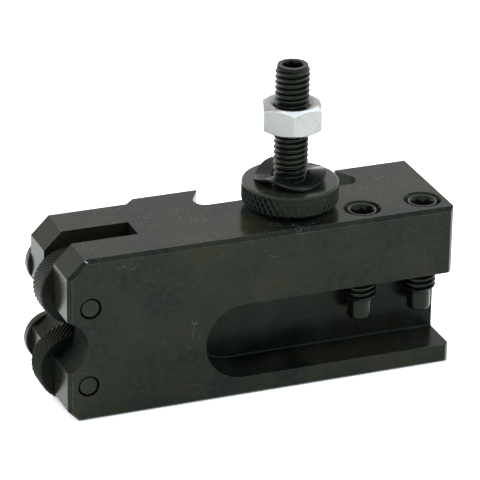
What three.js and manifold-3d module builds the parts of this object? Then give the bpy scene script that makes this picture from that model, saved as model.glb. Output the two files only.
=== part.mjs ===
// Combined knurling, turning and facing tool holder for a small quick change tool post.
//
// A black steel block hangs on the post by a dovetail groove in its back. A stud in its top carries
// a knurled nut that sets the height, a wave washer and a lock nut. Two knurling wheels turn on headed
// axles in the forked nose, and a slot in the front takes a cutting tool under two clamp screws.
//
// Units are millimetres. Inside the group, x runs back from the nose, y in from the front face and
// z up from the bottom. The group then puts the origin under the stud, on the bottom face.

import * as THREE from 'three';
import { mergeVertices } from 'three/addons/utils/BufferGeometryUtils.js';
import Module from 'manifold-3d';

const wasm = await Module();
wasm.setup();

// ---- Driving dimensions

const BODY = { length: 71, depth: 22, height: 30 };
const NOSE = { topChamfer: 3.2, bottomChamfer: 2.0 };
const EDGE_BREAK = { front: 0.7, bottom: 0.4, back: 0.15 };

const BACK_RELIEF = { y: 20.1, x: 17.4 };
const DOVETAIL = { mouth: 26.4, floor: 15.2, angle: 60, cornerRadius: 2.1, lipFlat: 0.5 };
const FORK = { near: 7.6, far: 12.9, end: 15.2 };
const NOTCH = { x: -1.26, z: 14, radius: 5 };
const TOOL_SLOT = { bottom: 3.5, top: 17.5, depth: 7.9, endCentre: 31.9, cornerFillet: 0.4 };

const STUD = { x: 44.2, y: 10.6, radius: 3, bottom: 21.2, top: 56.2, chamfer: 0.38, socket: 3 };
const STUD_HOLE_BOTTOM = 20.4;
const HEIGHT_NUT = { bottom: 30.8, top: 34.8, radius: 8.5, topChamfer: 0.25, bottomChamfer: 0.5 };
const LOCK_NUT = { bottom: 44.3, top: 49.3, flats: 10, cornerAngle: -107.9, faceRadius: 4.5, sink: 0.8 };
const WASHER = { outer: 6.3, inner: 3.3, thickness: 0.5, waves: 3, rise: 0.7, highAngle: -24 };

const SCREW = { y: 4.95, radius: 2.9, bottom: 9.4, top: 29.8, dogRadius: 2.1, dogLength: 3.4, socket: 3 };
const SCREW_X = { inner: 55.5, outer: 66.95 };
const SCREW_SINK = { radius: 3.35, depth: 0.7 };

const WHEEL = { radius: 6.35, width: 4.76, edgeChamfer: 0.35 };
const AXLE = { radius: 2.38, threadRadius: 2, tip: 0.25, headRadius: 4.7, headTop: 22.5, socket: 2.5 };
const AXLES = { upper: { x: 4.05, z: 21 }, lower: { x: 3.65, z: 6.45 } };

const CLEARANCE = 0.05;      // on the radius, between a round piece and its hole
const SEAT_GAP = 0.02;       // between faces that rest on each other
const FACETS = 36;           // round a full turn
const SPARE = 2;             // how far a cutting shape runs past the surface it cuts

// ---- Shapes

// A closed geometry as a solid that can be joined and cut.
function solid(geometry) {
  const bare = geometry.clone();
  for (const name of Object.keys(bare.attributes)) {
    if (name !== 'position') bare.deleteAttribute(name);
  }
  const merged = mergeVertices(bare, 1e-5);
  return new wasm.Manifold(new wasm.Mesh({
    numProp: 3,
    vertProperties: new Float32Array(merged.attributes.position.array),
    triVerts: new Uint32Array(merged.index.array),
  }));
}

// A solid as a geometry, with its faces left flat.
function geometryOf(manifold) {
  const mesh = manifold.getMesh();
  const geometry = new THREE.BufferGeometry();
  geometry.setAttribute('position', new THREE.BufferAttribute(mesh.vertProperties, 3));
  geometry.setIndex(new THREE.BufferAttribute(mesh.triVerts, 1));
  geometry.computeVertexNormals();
  return geometry;
}

function vectors(points) {
  return points.map(([a, b]) => new THREE.Vector2(a, b));
}

// A body of revolution about +Y, from points of radius and height that go up its outside.
function turnedAboutY(points, facets = FACETS) {
  return new THREE.LatheGeometry(vectors(points), facets);
}

// The same about +Z.
function turnedAboutZ(points, facets = FACETS) {
  return turnedAboutY(points, facets).rotateX(Math.PI / 2);
}

// A prism standing on an outline of x and y, from z = bottom to z = top.
function uprightPrism(shape, bottom, top) {
  const options = { depth: top - bottom, bevelEnabled: false, curveSegments: 9 };
  return new THREE.ExtrudeGeometry(shape, options).translate(0, 0, bottom);
}

// A prism on an outline of x and z, running back from y = front to y = back.
function levelPrism(shape, front, back, bevel = {}) {
  const options = { depth: back - front, bevelEnabled: false, curveSegments: 18, ...bevel };
  return new THREE.ExtrudeGeometry(shape, options).rotateX(Math.PI / 2).translate(0, back, 0);
}

function pinAboutZ(radius, bottom, top, facets = FACETS) {
  return turnedAboutZ([[0, bottom], [radius, bottom], [radius, top], [0, top]], facets);
}

function pinAboutY(radius, front, back, facets = FACETS) {
  return turnedAboutY([[0, front], [radius, front], [radius, back], [0, back]], facets);
}

// A hexagonal key socket of the given size across its flats, about +Z.
function hexAboutZ(acrossFlats, bottom, top, cornerAngle = 0) {
  const corner = acrossFlats / 2 / Math.cos(Math.PI / 6);
  const hexagon = new THREE.CylinderGeometry(corner, corner, top - bottom, 6);
  hexagon.rotateX(Math.PI / 2);
  hexagon.rotateZ(THREE.MathUtils.degToRad(cornerAngle + 90));
  return hexagon.translate(0, 0, (bottom + top) / 2);
}

// ---- Holder body

const sideOutline = [
  [NOSE.bottomChamfer, 0],
  [BODY.length, 0],
  [BODY.length, BODY.height],
  [NOSE.topChamfer, BODY.height],
  [0, BODY.height - NOSE.topChamfer],
  [0, NOSE.bottomChamfer],
];

// Edge breaks along the sides of the outline, in the same order.
const frontBreaks = [
  EDGE_BREAK.bottom, EDGE_BREAK.front, EDGE_BREAK.front,
  EDGE_BREAK.front, EDGE_BREAK.front, EDGE_BREAK.bottom,
];
const backBreaks = [EDGE_BREAK.back, EDGE_BREAK.back, EDGE_BREAK.back, 0, 0, 0];

// What a 45 degree break takes off one edge of the block: facing 1 for the front face, -1 for the back.
function edgeCutter([ax, az], [bx, bz], size, facing) {
  const run = new THREE.Vector3(bx - ax, 0, bz - az);
  const reach = run.length() + 2 * SPARE;
  run.normalize();
  const outward = new THREE.Vector3(run.z, 0, -run.x);
  const inward = new THREE.Vector3(0, facing, 0);
  const along = run.clone().multiplyScalar(facing);
  const start = facing > 0 ? new THREE.Vector3(ax, 0, az) : new THREE.Vector3(bx, BODY.depth, bz);
  start.addScaledVector(along, -SPARE);
  const wedge = new THREE.Shape(vectors([[-size - SPARE, -SPARE], [SPARE, -SPARE], [SPARE, size + SPARE]]));
  const geometry = new THREE.ExtrudeGeometry(wedge, { depth: reach, bevelEnabled: false });
  const place = new THREE.Matrix4().makeBasis(outward, inward, along).setPosition(start);
  return solid(geometry.applyMatrix4(place));
}

function block() {
  let result = solid(levelPrism(new THREE.Shape(vectors(sideOutline)), 0, BODY.depth));
  for (const [breaks, facing] of [[frontBreaks, 1], [backBreaks, -1]]) {
    breaks.forEach((size, side) => {
      if (!size) return;
      const from = sideOutline[side];
      const to = sideOutline[(side + 1) % sideOutline.length];
      result = result.subtract(edgeCutter(from, to, size, facing));
    });
  }
  return result;
}

// The vertical dovetail groove, with blunt lips, undercut flanks and round inner corners.
function dovetailCutter() {
  const lean = THREE.MathUtils.degToRad(DOVETAIL.angle);
  const half = DOVETAIL.mouth / 2;
  const depth = BODY.depth - DOVETAIL.floor;
  const lip = DOVETAIL.lipFlat;
  const corner = half + (depth - lip) / Math.tan(lean);
  const tangent = DOVETAIL.cornerRadius / Math.tan(lean / 2);
  const arcCentre = [corner - tangent, DOVETAIL.floor + DOVETAIL.cornerRadius];
  const shape = new THREE.Shape();
  // Right half from the floor outwards, then the left half as its mirror image.
  shape.moveTo(0, DOVETAIL.floor);
  shape.lineTo(arcCentre[0], DOVETAIL.floor);
  shape.absarc(...arcCentre, DOVETAIL.cornerRadius, -Math.PI / 2, Math.PI / 2 - lean, false);
  shape.lineTo(half, BODY.depth - lip);
  shape.lineTo(half, BODY.depth + SPARE);
  shape.lineTo(-half, BODY.depth + SPARE);
  shape.lineTo(-half, BODY.depth - lip);
  shape.absarc(-arcCentre[0], arcCentre[1], DOVETAIL.cornerRadius, Math.PI / 2 + lean, Math.PI * 1.5, false);
  const cutter = uprightPrism(shape, -SPARE, BODY.height + SPARE);
  return solid(cutter.translate(STUD.x, 0, 0));
}

// Takes the back of the nose in, so that the axle heads stay close to the block.
function backReliefCutter() {
  const outside = BODY.depth + SPARE;
  const shape = new THREE.Shape(vectors([
    [-SPARE, BACK_RELIEF.y],
    [BACK_RELIEF.x, BACK_RELIEF.y],
    [BACK_RELIEF.x + outside - BACK_RELIEF.y, outside],
    [-SPARE, outside],
  ]));
  return solid(uprightPrism(shape, -SPARE, BODY.height + SPARE));
}

function forkCutter() {
  const shape = new THREE.Shape(vectors([
    [-SPARE, FORK.near], [FORK.end, FORK.near], [FORK.end, FORK.far], [-SPARE, FORK.far],
  ]));
  return solid(uprightPrism(shape, -SPARE, BODY.height + SPARE));
}

// The tool slot, open at the front and the right end, with a round left end and a small fillet all round.
function toolSlotCutter() {
  const { bottom, top, depth, endCentre, cornerFillet } = TOOL_SLOT;
  const middle = (bottom + top) / 2;
  const radius = (top - bottom) / 2;
  const shape = new THREE.Shape();
  shape.moveTo(BODY.length + SPARE, bottom);
  shape.lineTo(BODY.length + SPARE, top);
  shape.absarc(endCentre, middle, radius, Math.PI / 2, Math.PI * 1.5, false);
  const bevel = {
    bevelEnabled: true, bevelThickness: cornerFillet, bevelSize: cornerFillet, bevelOffset: -cornerFillet,
    bevelSegments: 2,
  };
  return solid(levelPrism(shape, -SPARE, depth - cornerFillet, bevel));
}

function holderBody() {
  let body = block();
  const cutters = [dovetailCutter(), backReliefCutter(), forkCutter(), toolSlotCutter()];

  cutters.push(solid(pinAboutY(NOTCH.radius, -SPARE, BODY.depth + SPARE).translate(NOTCH.x, 0, NOTCH.z)));

  for (const { x, z } of Object.values(AXLES)) {
    const threaded = pinAboutY(AXLE.threadRadius + CLEARANCE, -SPARE, FORK.near + SPARE);
    const plain = pinAboutY(AXLE.radius + CLEARANCE, FORK.far - SPARE, BODY.depth + SPARE);
    cutters.push(solid(threaded.translate(x, 0, z)), solid(plain.translate(x, 0, z)));
  }

  const studHole = pinAboutZ(STUD.radius + CLEARANCE, STUD_HOLE_BOTTOM, BODY.height + SPARE);
  cutters.push(solid(studHole.translate(STUD.x, STUD.y, 0)));

  const sinkTop = SCREW_SINK.radius + SPARE;
  for (const x of Object.values(SCREW_X)) {
    const hole = turnedAboutZ([
      [0, TOOL_SLOT.top - SPARE],
      [SCREW.radius + CLEARANCE, TOOL_SLOT.top - SPARE],
      [SCREW.radius + CLEARANCE, BODY.height - SCREW_SINK.depth],
      [SCREW_SINK.radius, BODY.height],
      [sinkTop, BODY.height + SPARE],
      [0, BODY.height + SPARE],
    ]);
    cutters.push(solid(hole.translate(x, SCREW.y, 0)));
  }

  for (const cutter of cutters) body = body.subtract(cutter);
  return geometryOf(body);
}

// ---- Knurling wheels and their axles

function knurlWheel() {
  const front = (FORK.near + FORK.far - WHEEL.width) / 2;
  const back = front + WHEEL.width;
  const bore = AXLE.radius + CLEARANCE;
  const rim = WHEEL.radius - WHEEL.edgeChamfer;
  return turnedAboutY([
    [bore, front], [rim, front], [WHEEL.radius, front + WHEEL.edgeChamfer],
    [WHEEL.radius, back - WHEEL.edgeChamfer], [rim, back], [bore, back], [bore, front],
  ]);
}

// A headed axle put in from the back, with its thread in the near side of the fork.
function knurlAxle() {
  const { radius, threadRadius, tip, headRadius, headTop, socket } = AXLE;
  const chamfer = 0.35;
  const underHead = BACK_RELIEF.y + SEAT_GAP;
  const rimTop = headTop - 0.9;
  const flatRadius = 2.6;
  const profile = [
    [0, tip], [threadRadius - chamfer, tip], [threadRadius, tip + chamfer],
    [threadRadius, FORK.near + SEAT_GAP], [radius, FORK.near + SEAT_GAP], [radius, underHead],
    [headRadius - chamfer, underHead], [headRadius, underHead + chamfer], [headRadius, rimTop],
    [(headRadius + flatRadius) / 2 + 0.2, headTop - 0.25], [flatRadius, headTop], [0, headTop],
  ];
  const socketDepth = 1.4;
  const key = hexAboutZ(socket, -socketDepth, SPARE).rotateX(-Math.PI / 2).translate(0, headTop, 0);
  return geometryOf(solid(turnedAboutY(profile)).subtract(solid(key)));
}

// ---- Height stud, nuts and washer, all about the stud's axis

function heightStud() {
  const { radius, bottom, top, chamfer, socket } = STUD;
  const socketDepth = 3;
  const rod = turnedAboutZ([
    [0, bottom], [radius - chamfer, bottom], [radius, bottom + chamfer],
    [radius, top - chamfer], [radius - chamfer, top], [0, top],
  ]);
  return geometryOf(solid(rod).subtract(solid(hexAboutZ(socket, top - socketDepth, top + SPARE))));
}

function heightNut() {
  const { bottom, top, radius, topChamfer, bottomChamfer } = HEIGHT_NUT;
  const bore = STUD.radius + CLEARANCE;
  const sink = 0.5;
  return turnedAboutZ([
    [bore, bottom + sink], [bore + sink, bottom], [radius - bottomChamfer, bottom],
    [radius, bottom + bottomChamfer], [radius, top - topChamfer], [radius - topChamfer, top],
    [bore + sink, top], [bore, top - sink], [bore, bottom + sink],
  ], 48);
}

// A hexagon whose corners are turned off at both faces, with a countersunk bore.
function lockNut() {
  const { bottom, top, flats, cornerAngle, faceRadius, sink } = LOCK_NUT;
  const bore = STUD.radius + CLEARANCE;
  const outside = faceRadius + SPARE;
  const cornerDrop = SPARE * Math.tan(Math.PI / 6);
  const envelope = turnedAboutZ([
    [bore, bottom + sink], [bore + sink, bottom], [faceRadius, bottom], [outside, bottom + cornerDrop],
    [outside, top - cornerDrop], [faceRadius, top], [bore + sink, top], [bore, top - sink],
    [bore, bottom + sink],
  ]);
  const hexagon = hexAboutZ(flats, bottom - SPARE, top + SPARE, cornerAngle);
  return geometryOf(solid(hexagon).intersect(solid(envelope)));
}

// A flat ring bent into equal waves. Its low points rest on the height nut.
function waveWasher() {
  const { outer, inner, thickness, waves, rise, highAngle } = WASHER;
  const bottom = HEIGHT_NUT.top + SEAT_GAP;
  const top = bottom + thickness;
  const section = [[inner, bottom], [outer, bottom], [outer, top], [inner, top], [inner, bottom]];
  const ring = turnedAboutZ(section, FACETS * 1.5);
  const position = ring.attributes.position;
  const high = THREE.MathUtils.degToRad(highAngle);
  for (let i = 0; i < position.count; i += 1) {
    const angle = Math.atan2(position.getY(i), position.getX(i));
    const lift = rise * (1 + Math.cos(waves * (angle - high)));
    position.setZ(i, position.getZ(i) + lift);
  }
  ring.computeVertexNormals();
  return ring;
}

// ---- Clamp screws

// A socket set screw with a plain round nose that presses on the tool.
function clampScrew() {
  const { radius, bottom, top, dogRadius, dogLength, socket } = SCREW;
  const chamfer = 0.4;
  const shoulder = bottom + dogLength;
  const socketDepth = 2.6;
  const rod = turnedAboutZ([
    [0, bottom], [dogRadius - chamfer, bottom], [dogRadius - chamfer * 0.3, bottom + chamfer * 0.3],
    [dogRadius, bottom + chamfer], [dogRadius, shoulder], [radius, shoulder + chamfer],
    [radius, top - chamfer], [radius - chamfer, top], [0, top],
  ]);
  return geometryOf(solid(rod).subtract(solid(hexAboutZ(socket, top - socketDepth, top + SPARE))));
}

// ---- Materials

const blackOxide = new THREE.MeshStandardMaterial({ color: 0x2c2e2c, roughness: 0.38, metalness: 0.7 });
const knurledBlack = new THREE.MeshStandardMaterial({ color: 0x272826, roughness: 0.5, metalness: 0.7 });
const screwBlack = new THREE.MeshStandardMaterial({ color: 0x1f211f, roughness: 0.3, metalness: 0.8 });
const springBlack = new THREE.MeshStandardMaterial({ color: 0x1c1e20, roughness: 0.22, metalness: 0.8 });
const brightZinc = new THREE.MeshStandardMaterial({ color: 0xd4d8d6, roughness: 0.28, metalness: 1 });

// ---- Assembly

const holder = new THREE.Group();
holder.position.set(-STUD.x, -STUD.y, 0);

function addPiece(name, geometry, material, x = 0, y = 0, z = 0) {
  const mesh = new THREE.Mesh(geometry, material);
  mesh.name = name;
  mesh.position.set(x, y, z);
  holder.add(mesh);
}

addPiece('holder_body', holderBody(), blackOxide);

for (const [place, { x, z }] of Object.entries(AXLES)) {
  addPiece(`knurl_wheel_${place}`, knurlWheel(), knurledBlack, x, 0, z);
  addPiece(`knurl_axle_${place}`, knurlAxle(), screwBlack, x, 0, z);
}

addPiece('height_stud', heightStud(), screwBlack, STUD.x, STUD.y);
addPiece('height_adjust_nut', heightNut(), knurledBlack, STUD.x, STUD.y);
addPiece('wave_washer', waveWasher(), springBlack, STUD.x, STUD.y);
addPiece('lock_nut', lockNut(), brightZinc, STUD.x, STUD.y);

for (const [place, x] of Object.entries(SCREW_X)) {
  addPiece(`clamp_screw_${place}`, clampScrew(), screwBlack, x, SCREW.y);
}

export default holder;
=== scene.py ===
"""Looks of a knurling, turning and facing tool holder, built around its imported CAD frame.

Every piece replaces one CAD node with a finer mesh of the same size. Shapes are worked out in millimetres
from the block's lowest corner (x back from the nose, y in from the front face, z up) and then put in place.
"""

import math

import bmesh
import bpy
from mathutils import Matrix, Vector


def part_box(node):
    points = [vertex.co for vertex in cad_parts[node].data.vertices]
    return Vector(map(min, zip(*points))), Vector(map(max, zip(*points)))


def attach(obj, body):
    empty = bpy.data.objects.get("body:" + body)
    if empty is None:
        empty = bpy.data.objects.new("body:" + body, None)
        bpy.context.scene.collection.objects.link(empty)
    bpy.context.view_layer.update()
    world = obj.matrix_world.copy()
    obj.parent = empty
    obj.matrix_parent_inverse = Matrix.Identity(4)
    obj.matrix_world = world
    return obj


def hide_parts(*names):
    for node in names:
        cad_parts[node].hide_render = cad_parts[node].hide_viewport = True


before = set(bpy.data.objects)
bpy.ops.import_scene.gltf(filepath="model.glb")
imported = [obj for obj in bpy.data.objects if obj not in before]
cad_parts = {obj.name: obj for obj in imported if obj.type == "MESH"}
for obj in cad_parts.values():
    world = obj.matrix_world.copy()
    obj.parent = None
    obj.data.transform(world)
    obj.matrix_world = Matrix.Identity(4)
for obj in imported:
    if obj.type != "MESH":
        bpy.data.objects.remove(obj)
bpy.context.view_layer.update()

MM = 0.001
TURN = 2 * math.pi

CORNER, FAR_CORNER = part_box("holder_body")
LENGTH, DEPTH, HEIGHT = (FAR_CORNER - CORNER) / MM
TO_FRAME = Matrix.Translation(CORNER) @ Matrix.Scale(MM, 4)


def box_mm(node):
    """A CAD node's lowest and highest corners, in millimetres from the block's corner."""
    low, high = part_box(node)
    return (low - CORNER) / MM, (high - CORNER) / MM


# ---- Sizes that the frame's boxes don't give, in millimetres

NOSE_TOP_CHAMFER = 3.2
NOSE_BOTTOM_CHAMFER = 2.0
FRONT_BREAK = 0.7
LOWER_BREAK = 0.4
BACK_BREAK = 0.15
BACK_RELIEF_Y = 20.1
BACK_RELIEF_X = 17.4
DOVETAIL_MOUTH = 26.4
DOVETAIL_FLOOR = 15.2
DOVETAIL_ANGLE = math.radians(60)
DOVETAIL_CORNER = 2.1
DOVETAIL_LIP = 0.5
FORK_NEAR, FORK_FAR, FORK_END = 7.6, 12.9, 15.2
NOTCH_X, NOTCH_Z, NOTCH_RADIUS = -1.26, 14.0, 5.0
SLOT_BOTTOM, SLOT_TOP, SLOT_DEPTH, SLOT_END = 3.5, 17.5, 7.9, 31.9
SLOT_FILLET = 0.4
SCREW_SINK_RADIUS, SCREW_SINK_DEPTH = 3.35, 0.7
CLEARANCE = 0.05
SPARE = 2.0
EDGE_ROUND = 0.15

COLUMNS = 72


# ---- Meshes

def ring(radius, height, columns=COLUMNS):
    """One turn of points about local Z. Radius and height are numbers, or functions of the angle."""
    points = []
    for j in range(columns):
        angle = TURN * j / columns
        r = radius(angle) if callable(radius) else radius
        z = height(angle) if callable(height) else height
        points.append(Vector((r * math.cos(angle), r * math.sin(angle), z)))
    return points


def hexagon(across_flats, corner_angle=0.0):
    """Radius of a hexagon as a function of the angle."""
    def radius(angle):
        from_flat = (angle - corner_angle) % (TURN / 6) - TURN / 12
        return across_flats / 2 / math.cos(from_flat)
    return radius


def rounded(corner_in, corner, corner_out, radius, steps=4):
    """Profile points that round one corner of a profile, between its neighbours."""
    a = (Vector(corner_in) - Vector(corner)).normalized()
    b = (Vector(corner_out) - Vector(corner)).normalized()
    half = a.angle(b) / 2
    reach = radius / math.tan(half)
    middle = Vector(corner) + (a + b).normalized() * (radius / math.sin(half))
    start = Vector(corner) + a * reach - middle
    end = Vector(corner) + b * reach - middle
    sweep = start.angle(end)
    points = []
    for i in range(steps + 1):
        t = i / steps
        arm = (start * math.sin((1 - t) * sweep) + end * math.sin(t * sweep)) / math.sin(sweep)
        points.append(tuple(middle + arm))
    return points


def profile(*corners):
    """Profile points of radius and height. A corner with a third number is rounded by that radius."""
    points = []
    for i, corner in enumerate(corners):
        if len(corner) == 2:
            points.append(corner)
        else:
            before, after = corners[i - 1], corners[(i + 1) % len(corners)]
            points += rounded(before[:2], corner[:2], after[:2], corner[2])
    return points


class Shell:
    """Points in millimetres, faces and a value of crest wear and painted glint for each point, which
    together become one mesh.
    """

    def __init__(self):
        self.mesh = bmesh.new()
        self.crest_wear_and_glint = self.mesh.verts.layers.float.new("crest_wear_and_glint")

    def point(self, place, crest_wear_and_glint=0.0):
        vert = self.mesh.verts.new(place)
        vert[self.crest_wear_and_glint] = crest_wear_and_glint
        return vert

    def face(self, *verts):
        if len(set(verts)) > 2:
            self.mesh.faces.new(verts)

    def skin(self, rings, looped=False):
        """Joins rings of equal numbers of points, one to the next, and back to the first if looped."""
        rows = [[self.point(p) for p in points] for points in rings]
        pairs = list(zip(rows, rows[1:]))
        if looped:
            pairs.append((rows[-1], rows[0]))
        for lower, upper in pairs:
            for j in range(len(lower)):
                k = (j + 1) % len(lower)
                self.face(lower[j], lower[k], upper[k], upper[j])
        return rows

    def lathe(self, points, columns=COLUMNS):
        """A body of revolution about local Z, from points of radius and height."""
        return self.skin([ring(r, z, columns) for r, z in points])

    def cap(self, row):
        self.mesh.faces.new(row)

    def finish(self, place=None, join=1e-4):
        """Closes gaps, turns every face outwards and returns the bmesh, moved by place."""
        bmesh.ops.remove_doubles(self.mesh, verts=self.mesh.verts, dist=join)
        bmesh.ops.dissolve_degenerate(self.mesh, edges=self.mesh.edges, dist=join)
        bmesh.ops.recalc_face_normals(self.mesh, faces=self.mesh.faces)
        if place is not None:
            bmesh.ops.transform(self.mesh, matrix=place, verts=self.mesh.verts)
        return self.mesh


ABOUT_Y = Matrix.Rotation(-math.pi / 2, 4, "X")      # takes local Z to the frame's Y


def to_object(name, bm, sharp=math.radians(35)):
    """A smooth-shaded object from a bmesh in millimetres, with edges over the sharp angle kept."""
    for face in bm.faces:
        face.smooth = True
    for edge in bm.edges:
        edge.smooth = edge.calc_face_angle(0.0) < sharp
    mesh = bpy.data.meshes.new(name)
    bm.to_mesh(mesh)
    bm.free()
    obj = bpy.data.objects.new(name, mesh)
    bpy.context.scene.collection.objects.link(obj)
    return obj


def settle_normals(obj):
    """Lets large faces shade flat, and leaves the shading's turn to the small faces between them."""
    modifier = obj.modifiers.new("normals", "WEIGHTED_NORMAL")
    modifier.keep_sharp = True
    apply_modifiers(obj)


def apply_modifiers(obj):
    bpy.context.view_layer.update()
    depsgraph = bpy.context.evaluated_depsgraph_get()
    mesh = bpy.data.meshes.new_from_object(obj.evaluated_get(depsgraph), depsgraph=depsgraph)
    obj.modifiers.clear()
    old, obj.data = obj.data, mesh
    mesh.name = obj.name
    bpy.data.meshes.remove(old)


def cut(obj, cutter):
    """Takes the cutter's shape out of obj and deletes the cutter."""
    modifier = obj.modifiers.new("cut", "BOOLEAN")
    modifier.operation = "DIFFERENCE"
    modifier.solver = "EXACT"
    modifier.object = cutter
    apply_modifiers(obj)
    bpy.data.objects.remove(cutter)


def break_edges(obj, width, worn_slot, segments=2, angle=math.radians(25)):
    """Rounds every edge sharper than the angle. The new faces get the material slot for worn edges."""
    modifier = obj.modifiers.new("edges", "BEVEL")
    modifier.width = width
    modifier.segments = segments
    modifier.limit_method = "ANGLE"
    modifier.angle_limit = angle
    modifier.use_clamp_overlap = True
    modifier.harden_normals = True
    modifier.material = worn_slot
    apply_modifiers(obj)


def close_slivers(obj, join=5e-4):
    """Joins points that all but touch, so that no face is without an area."""
    bm = bmesh.new()
    bm.from_mesh(obj.data)
    bmesh.ops.remove_doubles(bm, verts=bm.verts, dist=join)
    bmesh.ops.dissolve_degenerate(bm, edges=bm.edges, dist=join)
    bm.to_mesh(obj.data)
    bm.free()


def hand_over(obj, node, body, slot, *materials):
    """Puts a finished piece in the frame, in place of its CAD node."""
    settle_normals(obj)
    obj.data.transform(TO_FRAME)
    for material in materials:
        obj.data.materials.append(material)
    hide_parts(node)
    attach(obj, body)


# ---- Materials

class Finish:
    """A procedural material. Its nodes measure in millimetres, in the piece's own space."""

    def __init__(self, name, **settings):
        self.material = bpy.data.materials.new(name)
        self.material.use_nodes = True
        self.tree = self.material.node_tree
        self.shader = self.tree.nodes["Principled BSDF"]
        for socket, value in settings.items():
            self.shader.inputs[socket.replace("_", " ").title().replace("Ior", "IOR")].default_value = value
        coordinates = self.tree.nodes.new("ShaderNodeTexCoord")
        self.place = self.vector("MULTIPLY", coordinates.outputs["Object"], (1 / MM, 1 / MM, 1 / MM))
        self.facing = coordinates.outputs["Normal"]

    def put(self, socket, value):
        if isinstance(value, bpy.types.NodeSocket):
            self.tree.links.new(value, socket)
        elif value is not None:
            socket.default_value = value

    def vector(self, operation, a, b):
        node = self.tree.nodes.new("ShaderNodeVectorMath")
        node.operation = operation
        self.put(node.inputs[0], a)
        self.put(node.inputs[1], b)
        return node.outputs["Value"] if operation == "DOT_PRODUCT" else node.outputs["Vector"]

    def math(self, operation, a, b=None, clamp=False):
        node = self.tree.nodes.new("ShaderNodeMath")
        node.operation = operation
        node.use_clamp = clamp
        self.put(node.inputs[0], a)
        self.put(node.inputs[1], b)
        return node.outputs[0]

    def split(self, vector):
        node = self.tree.nodes.new("ShaderNodeSeparateXYZ")
        self.put(node.inputs[0], vector)
        return node.outputs

    def turned(self, angles, scale=(1, 1, 1)):
        """The place, turned by angles in degrees and then scaled along its axes."""
        node = self.tree.nodes.new("ShaderNodeMapping")
        self.put(node.inputs["Vector"], self.place)
        node.inputs["Rotation"].default_value = [math.radians(a) for a in angles]
        node.inputs["Scale"].default_value = scale
        return node.outputs[0]

    def noise(self, size, detail=3.0, roughness=0.5, place=None):
        """Noise whose features are about this many millimetres across, from 0 to 1."""
        node = self.tree.nodes.new("ShaderNodeTexNoise")
        self.put(node.inputs["Vector"], place or self.place)
        node.inputs["Scale"].default_value = 1 / size
        node.inputs["Detail"].default_value = detail
        node.inputs["Roughness"].default_value = roughness
        return node.outputs["Fac"]

    def specks(self, cell, radius, share):
        """1 in small round spots. The share, from 0 to 1, is the part of the cells that hold one."""
        node = self.tree.nodes.new("ShaderNodeTexVoronoi")
        self.put(node.inputs["Vector"], self.place)
        node.inputs["Scale"].default_value = 1 / cell
        spot = self.ramp(node.outputs["Distance"], radius / cell, radius / cell * 0.6)
        chosen = self.ramp(self.split(node.outputs["Color"])[0], 1 - share, 1 - share + 0.02)
        return self.math("MULTIPLY", spot, chosen)

    def ramp(self, value, start, end, low=0.0, high=1.0):
        """Maps start..end to low..high, clamped."""
        node = self.tree.nodes.new("ShaderNodeMapRange")
        self.put(node.inputs["Value"], value)
        for socket, number in zip(("From Min", "From Max", "To Min", "To Max"), (start, end, low, high)):
            self.put(node.inputs[socket], number)
        return node.outputs[0]

    def mix(self, share, a, b):
        """A colour between a and b."""
        node = self.tree.nodes.new("ShaderNodeMix")
        node.data_type = "RGBA"
        self.put(node.inputs[0], share)
        for socket, colour in ((node.inputs[6], a), (node.inputs[7], b)):
            self.put(socket, colour if isinstance(colour, bpy.types.NodeSocket) else (*colour, 1))
        return node.outputs[2]

    def attribute(self, name):
        node = self.tree.nodes.new("ShaderNodeAttribute")
        node.attribute_name = name
        return node.outputs["Fac"]

    def bump(self, height, depth, below=None):
        """Relief of this depth in millimetres, on top of another bump if one is given."""
        node = self.tree.nodes.new("ShaderNodeBump")
        node.inputs["Strength"].default_value = 1.0
        node.inputs["Distance"].default_value = depth * MM
        self.put(node.inputs["Height"], height)
        if below is not None:
            self.put(node.inputs["Normal"], below)
        return node.outputs[0]

    def set(self, socket, value):
        self.put(self.shader.inputs[socket], value)
        return self


def scratches(finish, angles, width=0.09, length=7.0, start=0.66):
    """Thin straight scratches along one turned axis."""
    stretched = finish.turned(angles, (1 / length, 1 / width, 1 / width))
    return finish.ramp(finish.noise(1.0, 1.0, 0.4, stretched), start, start + 0.07)


def hairs(finish, size=5.5, width=0.0035):
    """A few thin curled marks: short pieces of the contour lines of a noise."""
    away = finish.math("ABSOLUTE", finish.math("SUBTRACT", finish.noise(size, 2.5, 0.55), 0.5))
    line = finish.ramp(away, width, width * 0.3)
    return finish.math("MULTIPLY", line, finish.ramp(finish.noise(size * 0.9, 0.0), 0.65, 0.71))


def mill_arcs(finish, radius, middle_z, pitch, bulge=1):
    """The arcs that an end mill leaves as it moves along X: a wave from 0 to 1.

    The arcs bulge towards the right end of the block, or towards the nose if bulge is -1.
    """
    x, _, z = finish.split(finish.place)[:3]
    up = finish.math("SUBTRACT", z, middle_z)
    square = finish.math("MULTIPLY", up, up)
    inside = finish.math("MAXIMUM", finish.math("SUBTRACT", radius * radius, square), 0.0)
    ahead = finish.math("SUBTRACT", x, finish.math("MULTIPLY", finish.math("SQRT", inside), bulge))
    wobble = finish.math("MULTIPLY", finish.noise(9.0), pitch * 1.5)
    phase = finish.math("MULTIPLY", finish.math("ADD", ahead, wobble), TURN / pitch)
    return finish.ramp(finish.math("SINE", phase), -1.0, 1.0)


CHIPPED_CORNER = Vector((NOSE_TOP_CHAMFER + 0.2, FRONT_BREAK / 2, HEIGHT - FRONT_BREAK / 3)) + CORNER / MM
OXIDE_TINT = (0.88, 1.0, 0.83, 1.0)


def chip(finish, corner, radius):
    """1 where a corner, in millimetres in the frame, has lost its oxide, with a ragged outline."""
    away = finish.vector("SUBTRACT", finish.place, corner)
    reach = finish.math("SQRT", finish.vector("DOT_PRODUCT", away, away))
    reach = finish.math("ADD", reach, finish.ramp(finish.noise(0.5, 3.0), 0.3, 0.7, -0.25, 0.25))
    return finish.ramp(reach, radius, radius * 0.7)


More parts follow.
